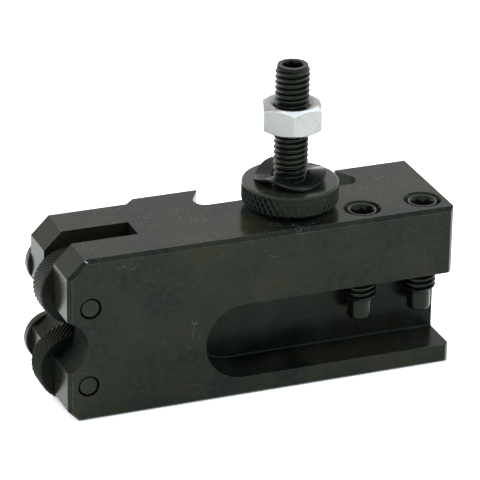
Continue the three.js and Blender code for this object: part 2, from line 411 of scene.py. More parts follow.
def black_oxide(name, dust=1.0, arcs=None, arc_depth=0.004, arc_tone=0.2, roughness=0.17,
                shade=1.0, ior=1.31):
    """Oiled black oxide on milled steel: green-black with brown clouds, dust and fine scratches."""
    finish = Finish(name, metallic=0.0, ior=ior, specular_tint=OXIDE_TINT)
    clouds = finish.noise(11.0, 6.0, 0.62)
    fine = finish.noise(1.3, 5.0, 0.7)
    grain = finish.noise(0.22, 2.0, 0.6)
    dark, light, rub = ([c * shade for c in colour] for colour in (
        (0.0012, 0.0040, 0.0038), (0.0094, 0.0092, 0.0042), (0.0112, 0.0122, 0.0078)))
    colour = finish.mix(finish.ramp(clouds, 0.40, 0.60), dark, light)
    colour = finish.mix(finish.ramp(fine, 0.42, 0.75), colour, rub)
    if arcs:
        milled = mill_arcs(finish, *arcs)
        crests = finish.math("MULTIPLY", milled, finish.ramp(finish.noise(7.0, 2.0), 0.42, 0.62, 0.15, 1.0))
        colour = finish.mix(finish.math("MULTIPLY", crests, arc_tone), colour, (0.034, 0.038, 0.032))
    upward = finish.ramp(finish.split(finish.facing)[2], 0.80, 0.98, 0.22, 1.0)
    patches = finish.ramp(finish.noise(6.0, 3.0), 0.40, 0.62, 0.12, 1.0)
    spots = finish.math("MAXIMUM", finish.specks(0.42, 0.070, 0.55), finish.specks(0.9, 0.11, 0.30))
    dusty = finish.math("MULTIPLY", finish.math("MULTIPLY", spots, patches), upward)
    dusty = finish.math("MULTIPLY", dusty, 0.75 * dust)
    lines = finish.math(
        "MAXIMUM", scratches(finish, (0, 0, 24)), scratches(finish, (0, 35, -38), start=0.68))
    lines = finish.math("MULTIPLY", lines, finish.ramp(clouds, 0.35, 0.7, 0.02, 0.10))
    lines = finish.math("MAXIMUM", lines, finish.math("MULTIPLY", hairs(finish), 0.55 * dust))
    colour = finish.mix(lines, colour, (0.115, 0.110, 0.088))
    colour = finish.mix(dusty, colour, (0.32, 0.31, 0.26))
    colour = finish.mix(chip(finish, CHIPPED_CORNER, 0.28), colour, (0.42, 0.41, 0.36))
    finish.set("Base Color", colour)
    rough = finish.math("ADD", finish.ramp(clouds, 0.35, 0.7, roughness - 0.03, roughness + 0.05),
                        finish.ramp(fine, 0.3, 0.7, -0.02, 0.05))
    rough = finish.math("ADD", rough, finish.math("MULTIPLY", dusty, 0.5))
    finish.set("Roughness", rough)
    sideways = finish.math("ABSOLUTE", finish.split(finish.facing)[0])
    level = finish.ramp(sideways, 0.3, 0.8, 1.0, 0.1)
    relief = finish.bump(finish.math("MULTIPLY", grain, level), 0.0015)
    along = finish.noise(1.0, 2.0, 0.5, finish.turned((0, 0, 0), (1 / 30, 1 / 0.3, 1 / 0.3)))
    relief = finish.bump(finish.math("MULTIPLY", along, level), 0.0020, below=relief)
    if arcs:
        relief = finish.bump(finish.math("MULTIPLY", milled, level), arc_depth, below=relief)
    finish.set("Normal", relief)
    return finish.material


def worn_edge(name):
    """Edges of the block, rubbed through the oxide here and there."""
    finish = Finish(name, metallic=0.2, ior=1.34, specular_tint=OXIDE_TINT)
    rub = finish.ramp(finish.noise(2.6, 5.0, 0.65), 0.38, 0.64, 0.22, 0.85)
    nick = finish.ramp(finish.noise(0.35, 2.0, 0.6), 0.62, 0.74)
    worn = finish.math("MAXIMUM", rub, nick)
    bare = finish.math("MAXIMUM", worn, chip(finish, CHIPPED_CORNER, 0.9), clamp=True)
    finish.set("Base Color", finish.mix(bare, (0.012, 0.015, 0.011), (0.42, 0.41, 0.36)))
    finish.set("Roughness", finish.ramp(bare, 0.0, 1.0, 0.25, 0.42))
    finish.set("Normal", finish.bump(finish.noise(0.3, 2.0), 0.006))
    return finish.material


def knurled_black(name, crest_colour, root_colour, roughness, ior):
    """Black oxide on a knurled rim: crests painted lighter, part rubbed wear and part painted glint, and
    dark roots.
    """
    finish = Finish(name, metallic=0.0, ior=ior, specular_tint=OXIDE_TINT)
    grain = finish.noise(0.25, 3.0, 0.6)
    crest_wear_and_glint = finish.math("MULTIPLY", finish.attribute("crest_wear_and_glint"), finish.ramp(grain, 0.25, 0.75, 0.55, 1.0))
    tone = finish.mix(finish.ramp(finish.noise(3.0, 3.0), 0.35, 0.65), root_colour, (0.008, 0.008, 0.006))
    finish.set("Base Color", finish.mix(crest_wear_and_glint, tone, crest_colour))
    finish.set("Roughness", finish.ramp(grain, 0.2, 0.8, roughness - 0.06, roughness + 0.10))
    pits = finish.noise(1.0, 2.0, 0.5, finish.turned((0, 0, 0), (4, 4, 4)))
    finish.set("Normal", finish.bump(pits, 0.005))
    return finish.material


def glossy_black(name, base, shine, crest_wear_and_glint_colour, roughness, ior):
    """Oiled black screws and springs: deep black, with crests painted lighter, part wear and part painted
    glint.
    """
    finish = Finish(name, metallic=0.0, ior=ior, specular_tint=OXIDE_TINT)
    grain = finish.noise(0.3, 4.0, 0.6)
    blotch = finish.noise(2.2, 4.0, 0.6)
    crest_wear_and_glint = finish.math("MULTIPLY", finish.attribute("crest_wear_and_glint"), finish.ramp(blotch, 0.40, 0.66, 0.08, 1.0))
    tone = finish.mix(finish.ramp(blotch, 0.3, 0.7), base, shine)
    finish.set("Base Color", finish.mix(crest_wear_and_glint, tone, crest_wear_and_glint_colour))
    finish.set("Roughness", finish.ramp(grain, 0.25, 0.75, roughness - 0.05, roughness + 0.10))
    finish.set("Normal", finish.bump(grain, 0.006))
    return finish.material


def bright_zinc(name, shade=1.0, painted_front_highlight=False):
    """Zinc plating: fine crystal grain, cloudy patches and a few dark nicks.

    The slopes that face the front can be painted near white: a painted highlight.
    """
    finish = Finish(name, metallic=1.0)
    grain = finish.noise(0.16, 2.0, 0.7)
    cloud = finish.noise(1.8, 4.0, 0.6)
    nicks = finish.ramp(finish.noise(0.55, 2.0, 0.5), 0.68, 0.74)
    dull, clear, middle = ([c * shade for c in colour] for colour in (
        (0.30, 0.31, 0.298), (0.38, 0.388, 0.368), (0.34, 0.348, 0.332)))
    colour = finish.mix(finish.ramp(cloud, 0.3, 0.7), dull, clear)
    colour = finish.mix(finish.ramp(grain, 0.35, 0.7), colour, middle)
    colour = finish.mix(finish.math("MULTIPLY", nicks, 0.6), colour, (0.12, 0.12, 0.11))
    # painted highlight: slopes that face the front are painted near white
    if painted_front_highlight:
        front_highlight_mask = finish.ramp(finish.split(finish.facing)[1], -0.28, -0.38)
        colour = finish.mix(front_highlight_mask, colour, (0.86, 0.88, 0.88))
    finish.set("Base Color", colour)
    finish.set("Roughness", finish.ramp(cloud, 0.3, 0.7, 0.24, 0.36))
    finish.set("Normal", finish.bump(grain, 0.010))
    return finish.material


oxide = black_oxide("black_oxide", ior=1.255, arcs=(16.0, 9.0, 0.55), arc_depth=0.0012, arc_tone=0.07)
# a darker copy of the oxide for the tool slot's insides and the nose's front chamfer: painted shade; the
# mill arcs and dust on it are the steel's own
oxide_slot_shaded = black_oxide(
    "black_oxide_slot_shaded", dust=0.15, shade=0.4, ior=1.235, roughness=0.24, arc_depth=0.004, arc_tone=0.34,
    arcs=((SLOT_TOP - SLOT_BOTTOM) / 2, (SLOT_TOP + SLOT_BOTTOM) / 2, 0.42, -1))
# a darker, less shiny copy of the oxide for the notch, the fork and the groove's round corners: painted
# shade
oxide_notch_shaded = black_oxide("black_oxide_notch_shaded", dust=0.1, shade=0.9, ior=1.14, roughness=0.40)
# a lighter copy of the oxide for the dovetail's near flank: painted light in place of a reflection
oxide_flank_lit = black_oxide("black_oxide_flank_lit", dust=0.3, shade=1.9, ior=1.36, roughness=0.35)
oxide_edge = worn_edge("black_oxide_worn_edge")
wheel_black = knurled_black("wheel_black", (0.018, 0.019, 0.014), (0.003, 0.004, 0.003), 0.36, 1.20)
wheel_side = black_oxide("wheel_side_black", dust=0.0, shade=0.6, ior=1.20, roughness=0.30)
nut_black = knurled_black("height_nut_black", (0.040, 0.044, 0.036), (0.002, 0.003, 0.002), 0.26, 1.22)
# a lighter copy of the oxide for the nut's smooth faces: painted light
nut_face_lit = black_oxide("height_nut_face_black_lit", dust=0.5, shade=1.3, ior=1.38, roughness=0.24)
screw_black = glossy_black(
    "screw_black", (0.002, 0.003, 0.002), (0.004, 0.004, 0.003), (0.028, 0.028, 0.021), 0.14, 1.31)
# a lighter copy of the screw black for the clamp screws' flat tops: painted light
screw_top_lit = glossy_black(
    "screw_rim_black_lit", (0.012, 0.014, 0.011), (0.030, 0.030, 0.022), (0.03, 0.03, 0.02), 0.20, 1.42)
axle_black = glossy_black(
    "axle_black", (0.004, 0.005, 0.003), (0.011, 0.011, 0.006), (0.08, 0.07, 0.05), 0.24, 1.29)
spring_black = glossy_black(
    "spring_black", (0.002, 0.003, 0.003), (0.004, 0.005, 0.005), (0.05, 0.05, 0.05), 0.26, 1.34)
zinc = bright_zinc("zinc_plate")
# a lighter copy of the zinc, with the painted front highlight, for the nut's cones and broken edges:
# painted light
zinc_rim_painted_highlight = bright_zinc("zinc_plate_rim_painted_highlight", shade=1.1, painted_front_highlight=True)


# ---- Holder block

def prism(outline, low, high, axis="Z"):
    """A closed prism on an outline of two coordinates. Axis Y takes outlines of x and z."""
    shell = Shell()
    rows = shell.skin([
        [Vector((a, b, level) if axis == "Z" else (a, level, b)) for a, b in outline]
        for level in (low, high)
    ])
    for row in rows:
        shell.cap(row)
    return shell.finish()


def turned_cutter(points, place, columns=96):
    shell = Shell()
    shell.lathe(points, columns)
    return to_object("cutter", shell.finish(place))


def block():
    """The convex block: a box with its nose corners and its outer edges cut off flat."""
    bm = prism([(0, 0), (LENGTH, 0), (LENGTH, DEPTH), (0, DEPTH)], 0, HEIGHT)
    outline = [
        (NOSE_BOTTOM_CHAMFER, 0), (LENGTH, 0), (LENGTH, HEIGHT), (NOSE_TOP_CHAMFER, HEIGHT),
        (0, HEIGHT - NOSE_TOP_CHAMFER), (0, NOSE_BOTTOM_CHAMFER),
    ]
    front = [LOWER_BREAK, FRONT_BREAK, FRONT_BREAK, FRONT_BREAK, FRONT_BREAK, LOWER_BREAK]
    back = [BACK_BREAK, BACK_BREAK, BACK_BREAK, 0, 0, 0]
    for i, (ax, az) in enumerate(outline):
        bx, bz = outline[(i + 1) % len(outline)]
        out = Vector((bz - az, 0, ax - bx)).normalized()
        slice_off(bm, (ax, 0, az), out)
        for size, edge_y, facing in ((front[i], 0, -1), (back[i], DEPTH, 1)):
            if size:
                slice_off(bm, (ax, edge_y - facing * size, az), out + Vector((0, facing, 0)))
    return to_object("holder_block", bm)


def slice_off(bm, point, normal):
    """Cuts away what lies beyond a plane and closes the cut."""
    result = bmesh.ops.bisect_plane(
        bm, geom=bm.verts[:] + bm.edges[:] + bm.faces[:], dist=1e-5, plane_co=point, plane_no=normal,
        clear_outer=True)
    rim = [e for e in result["geom_cut"] if isinstance(e, bmesh.types.BMEdge) and e.is_boundary]
    if rim:
        bmesh.ops.edgeloop_fill(bm, edges=rim)
        bmesh.ops.recalc_face_normals(bm, faces=bm.faces)


def arc(centre, radius, start, end, steps):
    return [
        (centre[0] + radius * math.cos(start + (end - start) * i / steps),
         centre[1] + radius * math.sin(start + (end - start) * i / steps))
        for i in range(steps + 1)
    ]


def dovetail_outline(middle_x):
    """The groove's outline of x and y, with blunt lips, undercut flanks and round inner corners."""
    half = DOVETAIL_MOUTH / 2
    lean = math.tan(DOVETAIL_ANGLE)
    corner = half + (DEPTH - DOVETAIL_FLOOR - DOVETAIL_LIP) / lean
    centre = (corner - DOVETAIL_CORNER / math.tan(DOVETAIL_ANGLE / 2), DOVETAIL_FLOOR + DOVETAIL_CORNER)
    right = arc(centre, DOVETAIL_CORNER, -TURN / 4, TURN / 4 - DOVETAIL_ANGLE, 14)
    right += [(half, DEPTH - DOVETAIL_LIP), (half, DEPTH + SPARE)]
    left = [(-x, y) for x, y in reversed(right)]
    return [(middle_x + x, y) for x, y in right + left]


def slot_cutter():
    """The tool slot's shape: round left end, open front and right end, and a fillet along the back."""
    middle = (SLOT_TOP + SLOT_BOTTOM) / 2
    half = (SLOT_TOP - SLOT_BOTTOM) / 2

    def outline(inset):
        end = arc((SLOT_END, middle), half - inset, TURN / 4, TURN * 3 / 4, 48)
        return [(LENGTH + SPARE, middle - half + inset), (LENGTH + SPARE, middle + half - inset)] + end

    levels = [(-SPARE, 0.0)]
    for i in range(7):
        angle = TURN / 4 * i / 6
        levels.append((SLOT_DEPTH - SLOT_FILLET * (1 - math.sin(angle)),
                       SLOT_FILLET * (1 - math.cos(angle))))
    shell = Shell()
    rows = shell.skin([[Vector((x, y, z)) for x, z in outline(inset)] for y, inset in levels])
    shell.cap(rows[0])
    shell.cap(rows[-1])
    return to_object("cutter", shell.finish())


OXIDE, WORN_EDGE, SLOT_SHADE_FACE, NOTCH_SHADE_FACE, LIT_GROOVE_FLANK = range(5)      # the block's material slots


def holder_block():
    obj = block()
    stud_low, stud_high = box_mm("height_stud")
    stud = (stud_low + stud_high) / 2
    outside = DEPTH + SPARE
    relief = [
        (-SPARE, BACK_RELIEF_Y), (BACK_RELIEF_X, BACK_RELIEF_Y),
        (BACK_RELIEF_X + outside - BACK_RELIEF_Y, outside), (-SPARE, outside),
    ]
    fork = [(-SPARE, FORK_NEAR), (FORK_END, FORK_NEAR), (FORK_END, FORK_FAR), (-SPARE, FORK_FAR)]
    for outline in (dovetail_outline(stud.x), relief, fork):
        cut(obj, to_object("cutter", prism(outline, -SPARE, HEIGHT + SPARE)))
    cut(obj, slot_cutter())

    notch = arc((NOTCH_X, NOTCH_Z), NOTCH_RADIUS, 0, TURN * 119 / 120, 119)
    cut(obj, to_object("cutter", prism(notch, -SPARE, outside, "Y")))

    for place in ("upper", "lower"):
        low, high = box_mm(f"knurl_wheel_{place}")
        middle = (low + high) / 2
        at_front = Matrix.Translation((middle.x, 0, middle.z)) @ ABOUT_Y
        near, far = AXLE_THREAD_RADIUS + CLEARANCE, AXLE_RADIUS + CLEARANCE
        cut(obj, turned_cutter([
            (0, -SPARE), (near, -SPARE), (near, FORK_NEAR + 1), (0, FORK_NEAR + 1)], at_front))
        cut(obj, turned_cutter([
            (0, FORK_FAR - 1), (far, FORK_FAR - 1), (far, outside), (0, outside)], at_front))

    hole = STUD_RADIUS + CLEARANCE
    cut(obj, turned_cutter([
        (0, stud_low.z - 0.8), (hole, stud_low.z - 0.8), (hole, HEIGHT - 0.3), (hole + 0.3, HEIGHT),
        (hole + 0.3, HEIGHT + SPARE), (0, HEIGHT + SPARE)], Matrix.Translation((stud.x, stud.y, 0))))

    for place in ("inner", "outer"):
        low, high = box_mm(f"clamp_screw_{place}")
        middle = (low + high) / 2
        hole = (high.x - low.x) / 2 + CLEARANCE
        cut(obj, turned_cutter([
            (0, SLOT_TOP - 1), (hole + 0.35, SLOT_TOP - 1), (hole + 0.35, SLOT_TOP),
            (hole, SLOT_TOP + 0.35),
            (hole, HEIGHT - SCREW_SINK_DEPTH), (SCREW_SINK_RADIUS, HEIGHT),
            (SCREW_SINK_RADIUS, HEIGHT + SPARE), (0, HEIGHT + SPARE)],
            Matrix.Translation((middle.x, middle.y, 0))))

    for material in (oxide, oxide_edge, oxide_slot_shaded, oxide_notch_shaded, oxide_flank_lit):
        obj.data.materials.append(material)
    break_edges(obj, EDGE_ROUND, WORN_EDGE)
    close_slivers(obj)
    slot_left = SLOT_END - (SLOT_TOP - SLOT_BOTTOM) / 2 - 0.2
    groove_corner = stud.x + DOVETAIL_MOUTH / 2
    for face in obj.data.polygons:
        x, y, z = face.center
        inside_slot = (x > slot_left and 0.2 < y < SLOT_DEPTH + 0.1
                       and SLOT_BOTTOM - 0.1 < z < SLOT_TOP + 0.1)
        inside_notch = math.hypot(x - NOTCH_X, z - NOTCH_Z) < NOTCH_RADIUS + 0.05
        on_nose_chamfer = face.normal.x < -0.3 and face.normal.y < -0.3 and x < NOSE_TOP_CHAMFER
        # faces in the tool slot and on the nose's front chamfer take the darker copy: painted shade
        if face.material_index == OXIDE and (inside_slot or on_nose_chamfer):
            face.material_index = SLOT_SHADE_FACE
        inside_groove = (groove_corner - 3 < x < groove_corner + 4.5
                         and DOVETAIL_FLOOR - 0.1 < y < DEPTH - 0.1)
        upright = abs(face.normal.z) < 0.1 and face.normal.x < 0
        in_corner = y < DOVETAIL_FLOOR + 1.5 * DOVETAIL_CORNER
        inside_fork = x < FORK_END + 0.1 and FORK_NEAR - 0.05 < y < FORK_FAR + 0.05
        if face.material_index == OXIDE and (inside_notch or inside_fork or inside_groove and upright):
            # the notch, the fork and the groove's round corners take the darker copy: painted shade
            dull = inside_notch or inside_fork or in_corner
            # the rest of the groove's near flank takes the lighter copy: painted light
            face.material_index = NOTCH_SHADE_FACE if dull else LIT_GROOVE_FLANK
    hand_over(obj, "holder_body", "holder", "black_oxide_body")


# ---- Threads and sockets

def thread_depth(phase):
    """How deep the thread is cut, from 0 on the crest to 1 at the root, over one pitch."""
    away = abs(phase - round(phase))
    t = min(max((away - 0.07) / 0.32, 0.0), 1.0)
    return t * t * (3 - 2 * t)


def threaded_wall(shell, radius, pitch, low, high, limit, fade, rows=14):
    """A right-hand thread from low to high, whose rows of points run along the helix.

    limit(z) is the largest radius at a height, and fade(z) how much of the depth is cut there.
    """
    depth = 0.61 * pitch
    first, last = -rows, math.ceil((high - low) / pitch * rows) + rows
    grid = {}
    for j in range(COLUMNS):
        angle = TURN * j / COLUMNS
        for i in range(first, last + 1):
            z = min(max(low + pitch * (i / rows + j / COLUMNS), low), high)
            cut_in = thread_depth((z - low) / pitch - j / COLUMNS) * fade(z)
            r = min(radius - depth * cut_in, limit(z))
            # crests get a lighter colour: part wear, part painted glint
            crest_wear_and_glint = (1 - cut_in) ** 4 * fade(z)
            grid[i, j] = shell.point((r * math.cos(angle), r * math.sin(angle), z), crest_wear_and_glint)
    for j in range(COLUMNS):
        for i in range(first, last):
            right = (i, j + 1) if j + 1 < COLUMNS else (i + rows, 0)
            above = (right[0] + 1, right[1])
            if above in grid:
                shell.face(grid[i, j], grid[right], grid[above], grid[i + 1, j])


def key_socket(shell, rim, top, across_flats, depth, corner_angle=0.0, countersink=0.12):
    """The flat end of a screw with a countersunk hexagonal socket, from the rim inwards and down."""
    hole = hexagon(across_flats, corner_angle)
    mouth = across_flats / 2 / math.cos(TURN / 12) + countersink
    rows = [ring(rim, top), ring(mouth + 0.05, top), ring(mouth, top - 0.04)]
    rows.append(ring(hole, lambda a: top - 0.04 - (mouth - hole(a)) * 1.1))
    rows.append(ring(hole, top - depth))
    rows.append(ring(lambda a: hole(a) * 0.55, top - depth - across_flats * 0.1))
    shell.cap(shell.skin(rows)[-1])


STUD_RADIUS = (box_mm("height_stud")[1].x - box_mm("height_stud")[0].x) / 2
STUD_PITCH = 1.0
STUD_SOCKET, STUD_SOCKET_DEPTH = 3.0, 3.0
STUD_SOCKET_ANGLE = math.radians(20)
AXLE_RADIUS = 2.38
AXLE_THREAD_RADIUS = 1.9      # 0.1 less than the CAD's, which leaves a dark ring round the tip


def height_stud():
    low, high = box_mm("height_stud")
    middle = (low + high) / 2
    thread_low = HEIGHT - 1.5
    rim = STUD_RADIUS - 0.38
    shell = Shell()
    bottom = shell.lathe([
        (STUD_RADIUS - 0.3, low.z), (STUD_RADIUS, low.z + 0.3), (STUD_RADIUS, thread_low - 0.2),
        (STUD_RADIUS, thread_low)])
    shell.cap(bottom[0])

    def limit(z):
        return min(STUD_RADIUS, rim + (high.z - z) * 0.45)

    def fade(z):
        return min(1.0, max(0.0, (high.z - 0.3 - z) / 0.6), max(0.0, (z - thread_low) / 0.5))

    threaded_wall(shell, STUD_RADIUS, STUD_PITCH, thread_low, high.z, limit, fade)
    key_socket(shell, rim, high.z, STUD_SOCKET, STUD_SOCKET_DEPTH, STUD_SOCKET_ANGLE)
    bm = shell.finish(Matrix.Translation((middle.x, middle.y, 0)))
    obj = to_object("height_stud_thread", bm, math.radians(50))
    hand_over(obj, "height_stud", "holder", "black_hardware", screw_black)


SCREW_PITCH = 1.0
DOG_RADIUS = 2.1
DOG_LENGTH = 3.4
SCREW_SOCKET, SCREW_SOCKET_DEPTH = 3.0, 2.6
SCREW_COUNTERSINK = 0.48


def clamp_screw(place, corner_angle):
    node = f"clamp_screw_{place}"
    low, high = box_mm(node)
    middle = (low + high) / 2
    radius = (high.x - low.x) / 2
    thread_low = low.z + DOG_LENGTH + 0.15
    rim = radius - 0.42
    shell = Shell()
    rows = shell.lathe(profile(
        (0.4, low.z), (DOG_RADIUS, low.z, 0.42), (DOG_RADIUS, thread_low - 0.12, 0.1),
        (DOG_RADIUS + 0.12, thread_low)))
    shell.cap(rows[0])

    def limit(z):
        return min(radius, DOG_RADIUS + 0.12 + (z - thread_low) * 0.9, rim + (high.z - z) * 0.9)

    def fade(z):
        return min(1.0, max(0.0, (high.z - 0.15 - z) / 0.5))

    threaded_wall(shell, radius, SCREW_PITCH, thread_low, high.z, limit, fade, rows=12)
    key_socket(shell, rim, high.z, SCREW_SOCKET, SCREW_SOCKET_DEPTH, corner_angle, SCREW_COUNTERSINK)
    bm = shell.finish(Matrix.Translation((middle.x, middle.y, 0)))
    obj = to_object(f"clamp_screw_{place}_thread", bm, math.radians(50))
    # the flat tops take the lighter copy: painted light
    for face in obj.data.polygons:
        face.material_index = int(face.normal.z > 0.9 and face.center.z > high.z - 0.1)
    hand_over(obj, node, f"{place}_clamp", "black_hardware", screw_black, screw_top_lit)


# ---- Knurling wheels and axles

WHEEL_TEETH = 44
TOOTH_STEPS = 8
TOOTH_DEPTH = 0.24
HELIX = math.radians(42)
AXLE_TIP_INSET, AXLE_TIP_LENGTH = 0.36, 0.80
HEAD_EDGE, HEAD_FLAT, HEAD_SOCKET_RIM = 0.75, 2.75, 2.1
AXLE_SOCKET, AXLE_SOCKET_DEPTH = 2.5, 1.4


def knurling_wheel(place, hand):
    """A wheel with slanting teeth. Its columns of points run along the teeth."""
    node = f"knurl_wheel_{place}"
    low, high = box_mm(node)
    middle = (low + high) / 2
    radius = (high.z - low.z) / 2
    width = high.y - low.y
    bore = AXLE_RADIUS + CLEARANCE
    columns = WHEEL_TEETH * TOOTH_STEPS
    chamfer = 0.3
    levels = [0.0, 0.12, chamfer]
    steps = 12
    levels += [chamfer + (width - 2 * chamfer) * i / steps for i in range(1, steps)]
    levels += [width - level for level in (chamfer, 0.12, 0.0)]

    shell = Shell()
    rows = []

    def add_row(level, shape):
        twist = hand * level * math.tan(HELIX) / radius
        row = []
        for j in range(columns):
            angle = TURN * j / columns + twist
            r, crest_wear_and_glint = shape(j)
            row.append(shell.point((r * math.cos(angle), r * math.sin(angle), level), crest_wear_and_glint))
        rows.append(row)

    for level in levels:
        limit = radius - chamfer + min(level, width - level, chamfer) - 0.01

        def tooth(j, limit=limit):
            away = abs((j % TOOTH_STEPS) / TOOTH_STEPS - 0.5) * 2
            height = min(1.0, 1.12 * away)
            r = radius - TOOTH_DEPTH * (1 - height)
            return min(r, limit), height ** 2
        add_row(level, tooth)
    for r, level in ((radius - 1.0, width), (bore + 0.3, width), (bore, width - 0.3), (bore, 0.3),
                     (bore + 0.3, 0.0), (radius - 1.0, 0.0)):
        add_row(level, lambda j, r=r: (r, 0.0))
    for lower, upper in zip(rows, rows[1:] + rows[:1]):
        for j in range(columns):
            k = (j + 1) % columns
            shell.face(lower[j], lower[k], upper[k], upper[j])
    bm = shell.finish(Matrix.Translation((middle.x, low.y, middle.z)) @ ABOUT_Y)
    obj = to_object(f"knurling_wheel_{place}", bm, math.radians(28))
    for face in obj.data.polygons:
        face.material_index = int(abs(face.normal.y) > 0.9)
    hand_over(obj, node, f"{place}_wheel", "black_wheel", wheel_black, wheel_side)


def axle(place):
    """A headed axle: flat tip in front, plain bearing length, and a domed head with a key socket."""
    node = f"knurl_axle_{place}"
    low, high = box_mm(node)
    middle = (low + high) / 2
    head = (high.z - low.z) / 2
    under_head = BACK_RELIEF_Y + 0.02
    shell = Shell()
    rows = shell.lathe(profile(
        (0.4, low.y), (AXLE_THREAD_RADIUS - AXLE_TIP_INSET, low.y, 0.06),
        (AXLE_THREAD_RADIUS, low.y + AXLE_TIP_LENGTH, 0.06),
        (AXLE_THREAD_RADIUS, FORK_NEAR + 0.02), (AXLE_RADIUS, FORK_NEAR + 0.02), (AXLE_RADIUS, under_head),
        (head, under_head, 0.25), (head, high.y - HEAD_EDGE, 0.35), (HEAD_FLAT, high.y, 0.7),
        (HEAD_SOCKET_RIM, high.y)))
    shell.cap(rows[0])
    key_socket(shell, HEAD_SOCKET_RIM, high.y, AXLE_SOCKET, AXLE_SOCKET_DEPTH)
    bm = shell.finish(Matrix.Translation((middle.x, 0, middle.z)) @ ABOUT_Y)
    obj = to_object(f"wheel_axle_{place}", bm)
    hand_over(obj, node, "holder", "black_hardware", axle_black)


# ---- Height nut, washer and lock nut

NUT_LINES = 48
LINE_STEPS = 10
NUT_ROWS = 20
LINE_HEIGHTS = (1.0, 0.22, 0.0, 0.0, 0.0, 0.0)
KNURL_DEPTH = 0.20
NUT_TOP_ROUND = 0.35
NUT_BOTTOM_CHAMFER = 0.6
NUT_SINK = 0.5
NUT_FACE_RING = 5.6        # a ring of points on the flat top
NUT_FACE_REACH = 7         # faces nearer the axis than this have the smooth faces' material


def height_nut():
    """The knurled nut: crossing raised lines round its rim, smooth faces and a countersunk bore."""
    low, high = box_mm("height_adjust_nut")
    middle = (low + high) / 2
    radius = (high.x - low.x) / 2
    columns = NUT_LINES * LINE_STEPS
    step = (high.z - NUT_TOP_ROUND - low.z) / NUT_ROWS
    shell = Shell()

    def raised(a, b):
        """Height of the pattern, from 0 to 1, at column a and row b."""
        heights = []
        for k in (a + b, a - b):
            k %= LINE_STEPS
            heights.append(LINE_HEIGHTS[min(k, LINE_STEPS - k)])
        return max(heights)

    rows = []
    for b in range(NUT_ROWS + 1):
        z = low.z + step * b
        limit = radius - max(0.0, NUT_BOTTOM_CHAMFER - step * b)
        row = []
        for a in range(columns):
            angle = TURN * a / columns
            line = raised(a, b)
            r = min(radius - KNURL_DEPTH * (1 - line), limit)
            row.append(shell.point((r * math.cos(angle), r * math.sin(angle), z), line))
        rows.append(row)
    for b in range(NUT_ROWS):
        for a in range(columns):
            c = (a + 1) % columns
            low_left, low_right, up_right, up_left = rows[b][a], rows[b][c], rows[b + 1][c], rows[b + 1][a]
            rising = min((a - b) % LINE_STEPS, (b - a) % LINE_STEPS)
            falling = min((a + b + 1) % LINE_STEPS, (-a - b - 1) % LINE_STEPS)
            if falling < rising:
                shell.face(low_left, low_right, up_left)
                shell.face(low_right, up_right, up_left)
            else:
                shell.face(low_left, low_right, up_right)
                shell.face(low_left, up_right, up_left)

    bore = STUD_RADIUS + CLEARANCE
    bottom_rim = radius - NUT_BOTTOM_CHAMFER
    wall = []
    for i in range(5):
        angle = TURN / 4 * i / 4
        wall.append((radius - 0.03 - NUT_TOP_ROUND * (1 - math.cos(angle)),
                     high.z - NUT_TOP_ROUND * (1 - math.sin(angle))))
    wall += [
        (radius - 1.0, high.z), (NUT_FACE_RING, high.z), (bore + NUT_SINK, high.z),
        (bore, high.z - NUT_SINK), (bore, low.z + NUT_SINK), (bore + NUT_SINK, low.z),
        (bottom_rim - 0.6, low.z), (bottom_rim, low.z),
    ]
    inner = shell.skin([ring(r, z, columns) for r, z in wall])
    for edge_row, wall_row in ((rows[-1], inner[0]), (rows[0], inner[-1])):
        for a in range(columns):
            c = (a + 1) % columns
            shell.face(edge_row[a], edge_row[c], wall_row[c], wall_row[a])
    bm = shell.finish(Matrix.Translation((middle.x, middle.y, 0)))
    obj = to_object("knurled_height_nut", bm, math.radians(40))
    # the smooth faces take the lighter oxide: painted light
    for face in obj.data.polygons:
        above_knurl = face.center.z > high.z - NUT_TOP_ROUND + 0.01
        away = face.center - middle
        face.material_index = int(above_knurl or math.hypot(away.x, away.y) < NUT_FACE_REACH)
    hand_over(obj, "height_adjust_nut", "height_nut", "black_wheel", nut_black, nut_face_lit)


WASHER_INNER, WASHER_THICKNESS, WASHER_ROUND = 3.3, 0.5, 0.12
WASHER_WAVES = 3
WASHER_HIGH_ANGLE = math.radians(-24)
FINE_COLUMNS = 144


def wave_washer():
    """A flat ring with rounded edges, bent into three waves."""
    low, high = box_mm("wave_washer")
    middle = (low + high) / 2
    outer = (high.x - low.x) / 2 - 0.003
    rise = (high.z - low.z - WASHER_THICKNESS) / 2
    section = profile(
        (WASHER_INNER, 0, WASHER_ROUND), (outer, 0, WASHER_ROUND),
        (outer, WASHER_THICKNESS, WASHER_ROUND), (WASHER_INNER, WASHER_THICKNESS, WASHER_ROUND))

    def lift(angle):
        return low.z + rise * (1 + math.cos(WASHER_WAVES * (angle - WASHER_HIGH_ANGLE)))

    shell = Shell()
    shell.skin([ring(r, lambda a, z=z: z + lift(a), FINE_COLUMNS) for r, z in section], looped=True)
    bm = shell.finish(Matrix.Translation((middle.x, middle.y, 0)))
    obj = to_object("wave_spring_washer", bm)
    hand_over(obj, "wave_washer", "washer", "black_spring_steel", spring_black)


LOCK_NUT_CORNER = math.radians(-107.9)
LOCK_NUT_FACE = 4.5
LOCK_NUT_SINK = 0.8
LOCK_NUT_FLATS = 10.0
LOCK_NUT_CONE = math.radians(30)
LOCK_NUT_EDGE = 0.10
OWN_MATERIAL = -1      # a broken edge keeps the material of the faces beside it


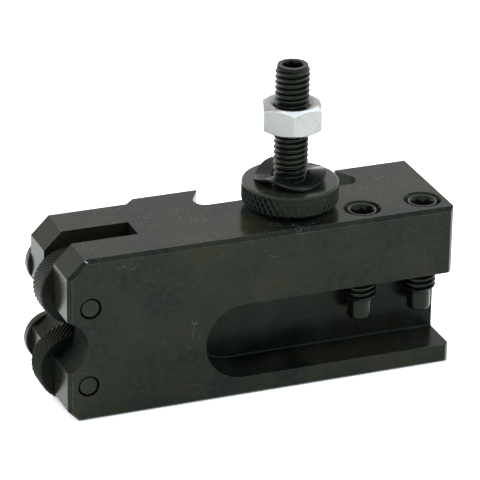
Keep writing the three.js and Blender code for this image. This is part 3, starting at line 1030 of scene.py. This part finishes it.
def lock_nut():
    """A plain hexagonal nut: corners turned off at both faces by a cone, and a countersunk bore."""
    low, high = box_mm("lock_nut")
    stud_low, stud_high = box_mm("height_stud")
    middle = (stud_low + stud_high) / 2
    outline = hexagon(LOCK_NUT_FLATS)
    bore = STUD_RADIUS + CLEARANCE

    def drop(angle):
        return max(0.0, outline(angle) - LOCK_NUT_FACE) * math.tan(LOCK_NUT_CONE)

    shell = Shell()
    sink = bore + LOCK_NUT_SINK
    shell.skin([
        ring(radius, height, FINE_COLUMNS) for radius, height in (
            (outline, lambda a: low.z + drop(a)), (outline, lambda a: high.z - drop(a)),
            (LOCK_NUT_FACE, high.z), (sink, high.z), (bore, high.z - LOCK_NUT_SINK),
            (bore, low.z + LOCK_NUT_SINK), (sink, low.z), (LOCK_NUT_FACE, low.z))
    ], looped=True)
    turn = Matrix.Rotation(LOCK_NUT_CORNER, 4, "Z")
    bm = shell.finish(Matrix.Translation((middle.x, middle.y, 0)) @ turn)
    obj = to_object("zinc_lock_nut", bm, math.radians(24))
    break_edges(obj, LOCK_NUT_EDGE, OWN_MATERIAL, segments=3)
    # the cones and broken edges take the lighter zinc with the painted front highlight
    for face in obj.data.polygons:
        x, y, _ = face.center - middle
        face.material_index = int(math.hypot(x, y) > LOCK_NUT_FACE - 0.1 and abs(face.normal.z) > 0.3)
    hand_over(obj, "lock_nut", "locking_nut", "bright_zinc", zinc, zinc_rim_painted_highlight)


# ---- Build

holder_block()
height_stud()
clamp_screw("inner", math.radians(10))
clamp_screw("outer", math.radians(35))
for wheel, hand in (("upper", -1), ("lower", 1)):
    knurling_wheel(wheel, hand)
    axle(wheel)
height_nut()
wave_washer()
lock_nut()


# ---- Floor, light and camera

FLOOR_REACH, FLOOR_THICKNESS = 3000, 10.0


def pale_floor():
    corners = [(x * FLOOR_REACH, y * FLOOR_REACH) for x, y in ((-1, -1), (1, -1), (1, 1), (-1, 1))]
    bm = prism(corners, -FLOOR_THICKNESS, 0.0)
    floor = to_object("floor", bm)
    floor.data.transform(Matrix.Scale(MM, 4))
    finish = Finish("pale_floor", roughness=0.9, emission_color=(1, 1, 1, 1), emission_strength=0.38)
    finish.set("Base Color", finish.mix(finish.noise(60.0, 2.0), (0.80, 0.80, 0.80), (0.82, 0.82, 0.815)))
    floor.data.materials.append(finish.material)


def soft_light(name, place, aim, size, power):
    """A square white area light, in metres and watts, aimed at a point and unseen in reflections."""
    data = bpy.data.lights.new(name, "AREA")
    data.size = size
    data.energy = power
    light = bpy.data.objects.new(name, data)
    light.location = place
    light.rotation_euler = (Vector(aim) - Vector(place)).to_track_quat("-Z", "Y").to_euler()
    light.visible_glossy = False
    bpy.context.scene.collection.objects.link(light)


WORLD_FADE = (("From Min", -0.55), ("From Max", 0.45))


def studio_world(behind, in_front, towards):
    """A soft studio: white behind the object, cooler and a little brighter on the camera's side."""
    world = bpy.data.worlds.new("studio")
    bpy.context.scene.world = world
    world.use_nodes = True
    nodes, links = world.node_tree.nodes, world.node_tree.links
    background = nodes["Background"]
    direction = nodes.new("ShaderNodeTexCoord").outputs["Generated"]
    dot = nodes.new("ShaderNodeVectorMath")
    dot.operation = "DOT_PRODUCT"
    dot.inputs[1].default_value = Vector(towards).normalized()
    fade = nodes.new("ShaderNodeMapRange")
    fade.interpolation_type = "SMOOTHSTEP"
    for socket, number in (*WORLD_FADE, ("To Min", in_front), ("To Max", behind)):
        fade.inputs[socket].default_value = number
    links.new(direction, dot.inputs[0])
    links.new(dot.outputs["Value"], fade.inputs["Value"])
    links.new(fade.outputs[0], background.inputs["Strength"])
    tone = nodes.new("ShaderNodeMix")
    tone.data_type = "RGBA"
    tone.inputs[6].default_value = (0.80, 0.95, 1.0, 1)
    tone.inputs[7].default_value = (1, 1, 1, 1)
    whiten = nodes.new("ShaderNodeMapRange")
    for socket, number in WORLD_FADE:
        whiten.inputs[socket].default_value = number
    links.new(dot.outputs["Value"], whiten.inputs["Value"])
    links.new(whiten.outputs[0], tone.inputs[0])
    links.new(tone.outputs[2], background.inputs["Color"])


CAMERA_PLACE = Vector((-0.20056, -0.48119, 0.26061))
CAMERA_AIM = Vector((-0.01042, -0.00313, 0.02610))
CAMERA_ROLL = math.radians(0.96)
CAMERA_LENS = 245.7


def camera():
    data = bpy.data.cameras.new("camera")
    data.lens = CAMERA_LENS
    data.sensor_width = 36
    data.clip_start = 0.01
    data.clip_end = 20
    back = (CAMERA_PLACE - CAMERA_AIM).normalized()
    right = Vector((0, 0, 1)).cross(back).normalized()
    up = back.cross(right)
    axes = Matrix((right, up, back)).transposed().to_4x4()
    obj = bpy.data.objects.new("camera", data)
    obj.matrix_world = Matrix.Translation(CAMERA_PLACE) @ axes @ Matrix.Rotation(CAMERA_ROLL, 4, "Z")
    bpy.context.scene.collection.objects.link(obj)
    bpy.context.scene.camera = obj


pale_floor()
studio_world(behind=1.05, in_front=1.20, towards=(-0.30, 0.95, 0.0))
soft_light("back_left", (-0.45, 0.55, 0.55), (-0.10, 0.15, 0.0), 0.5, 9)
soft_light("front_right", (0.15, -0.15, 0.30), (0.08, -0.08, 0.0), 0.12, 0.6)
camera()
bpy.context.scene.view_settings.view_transform = "Standard"
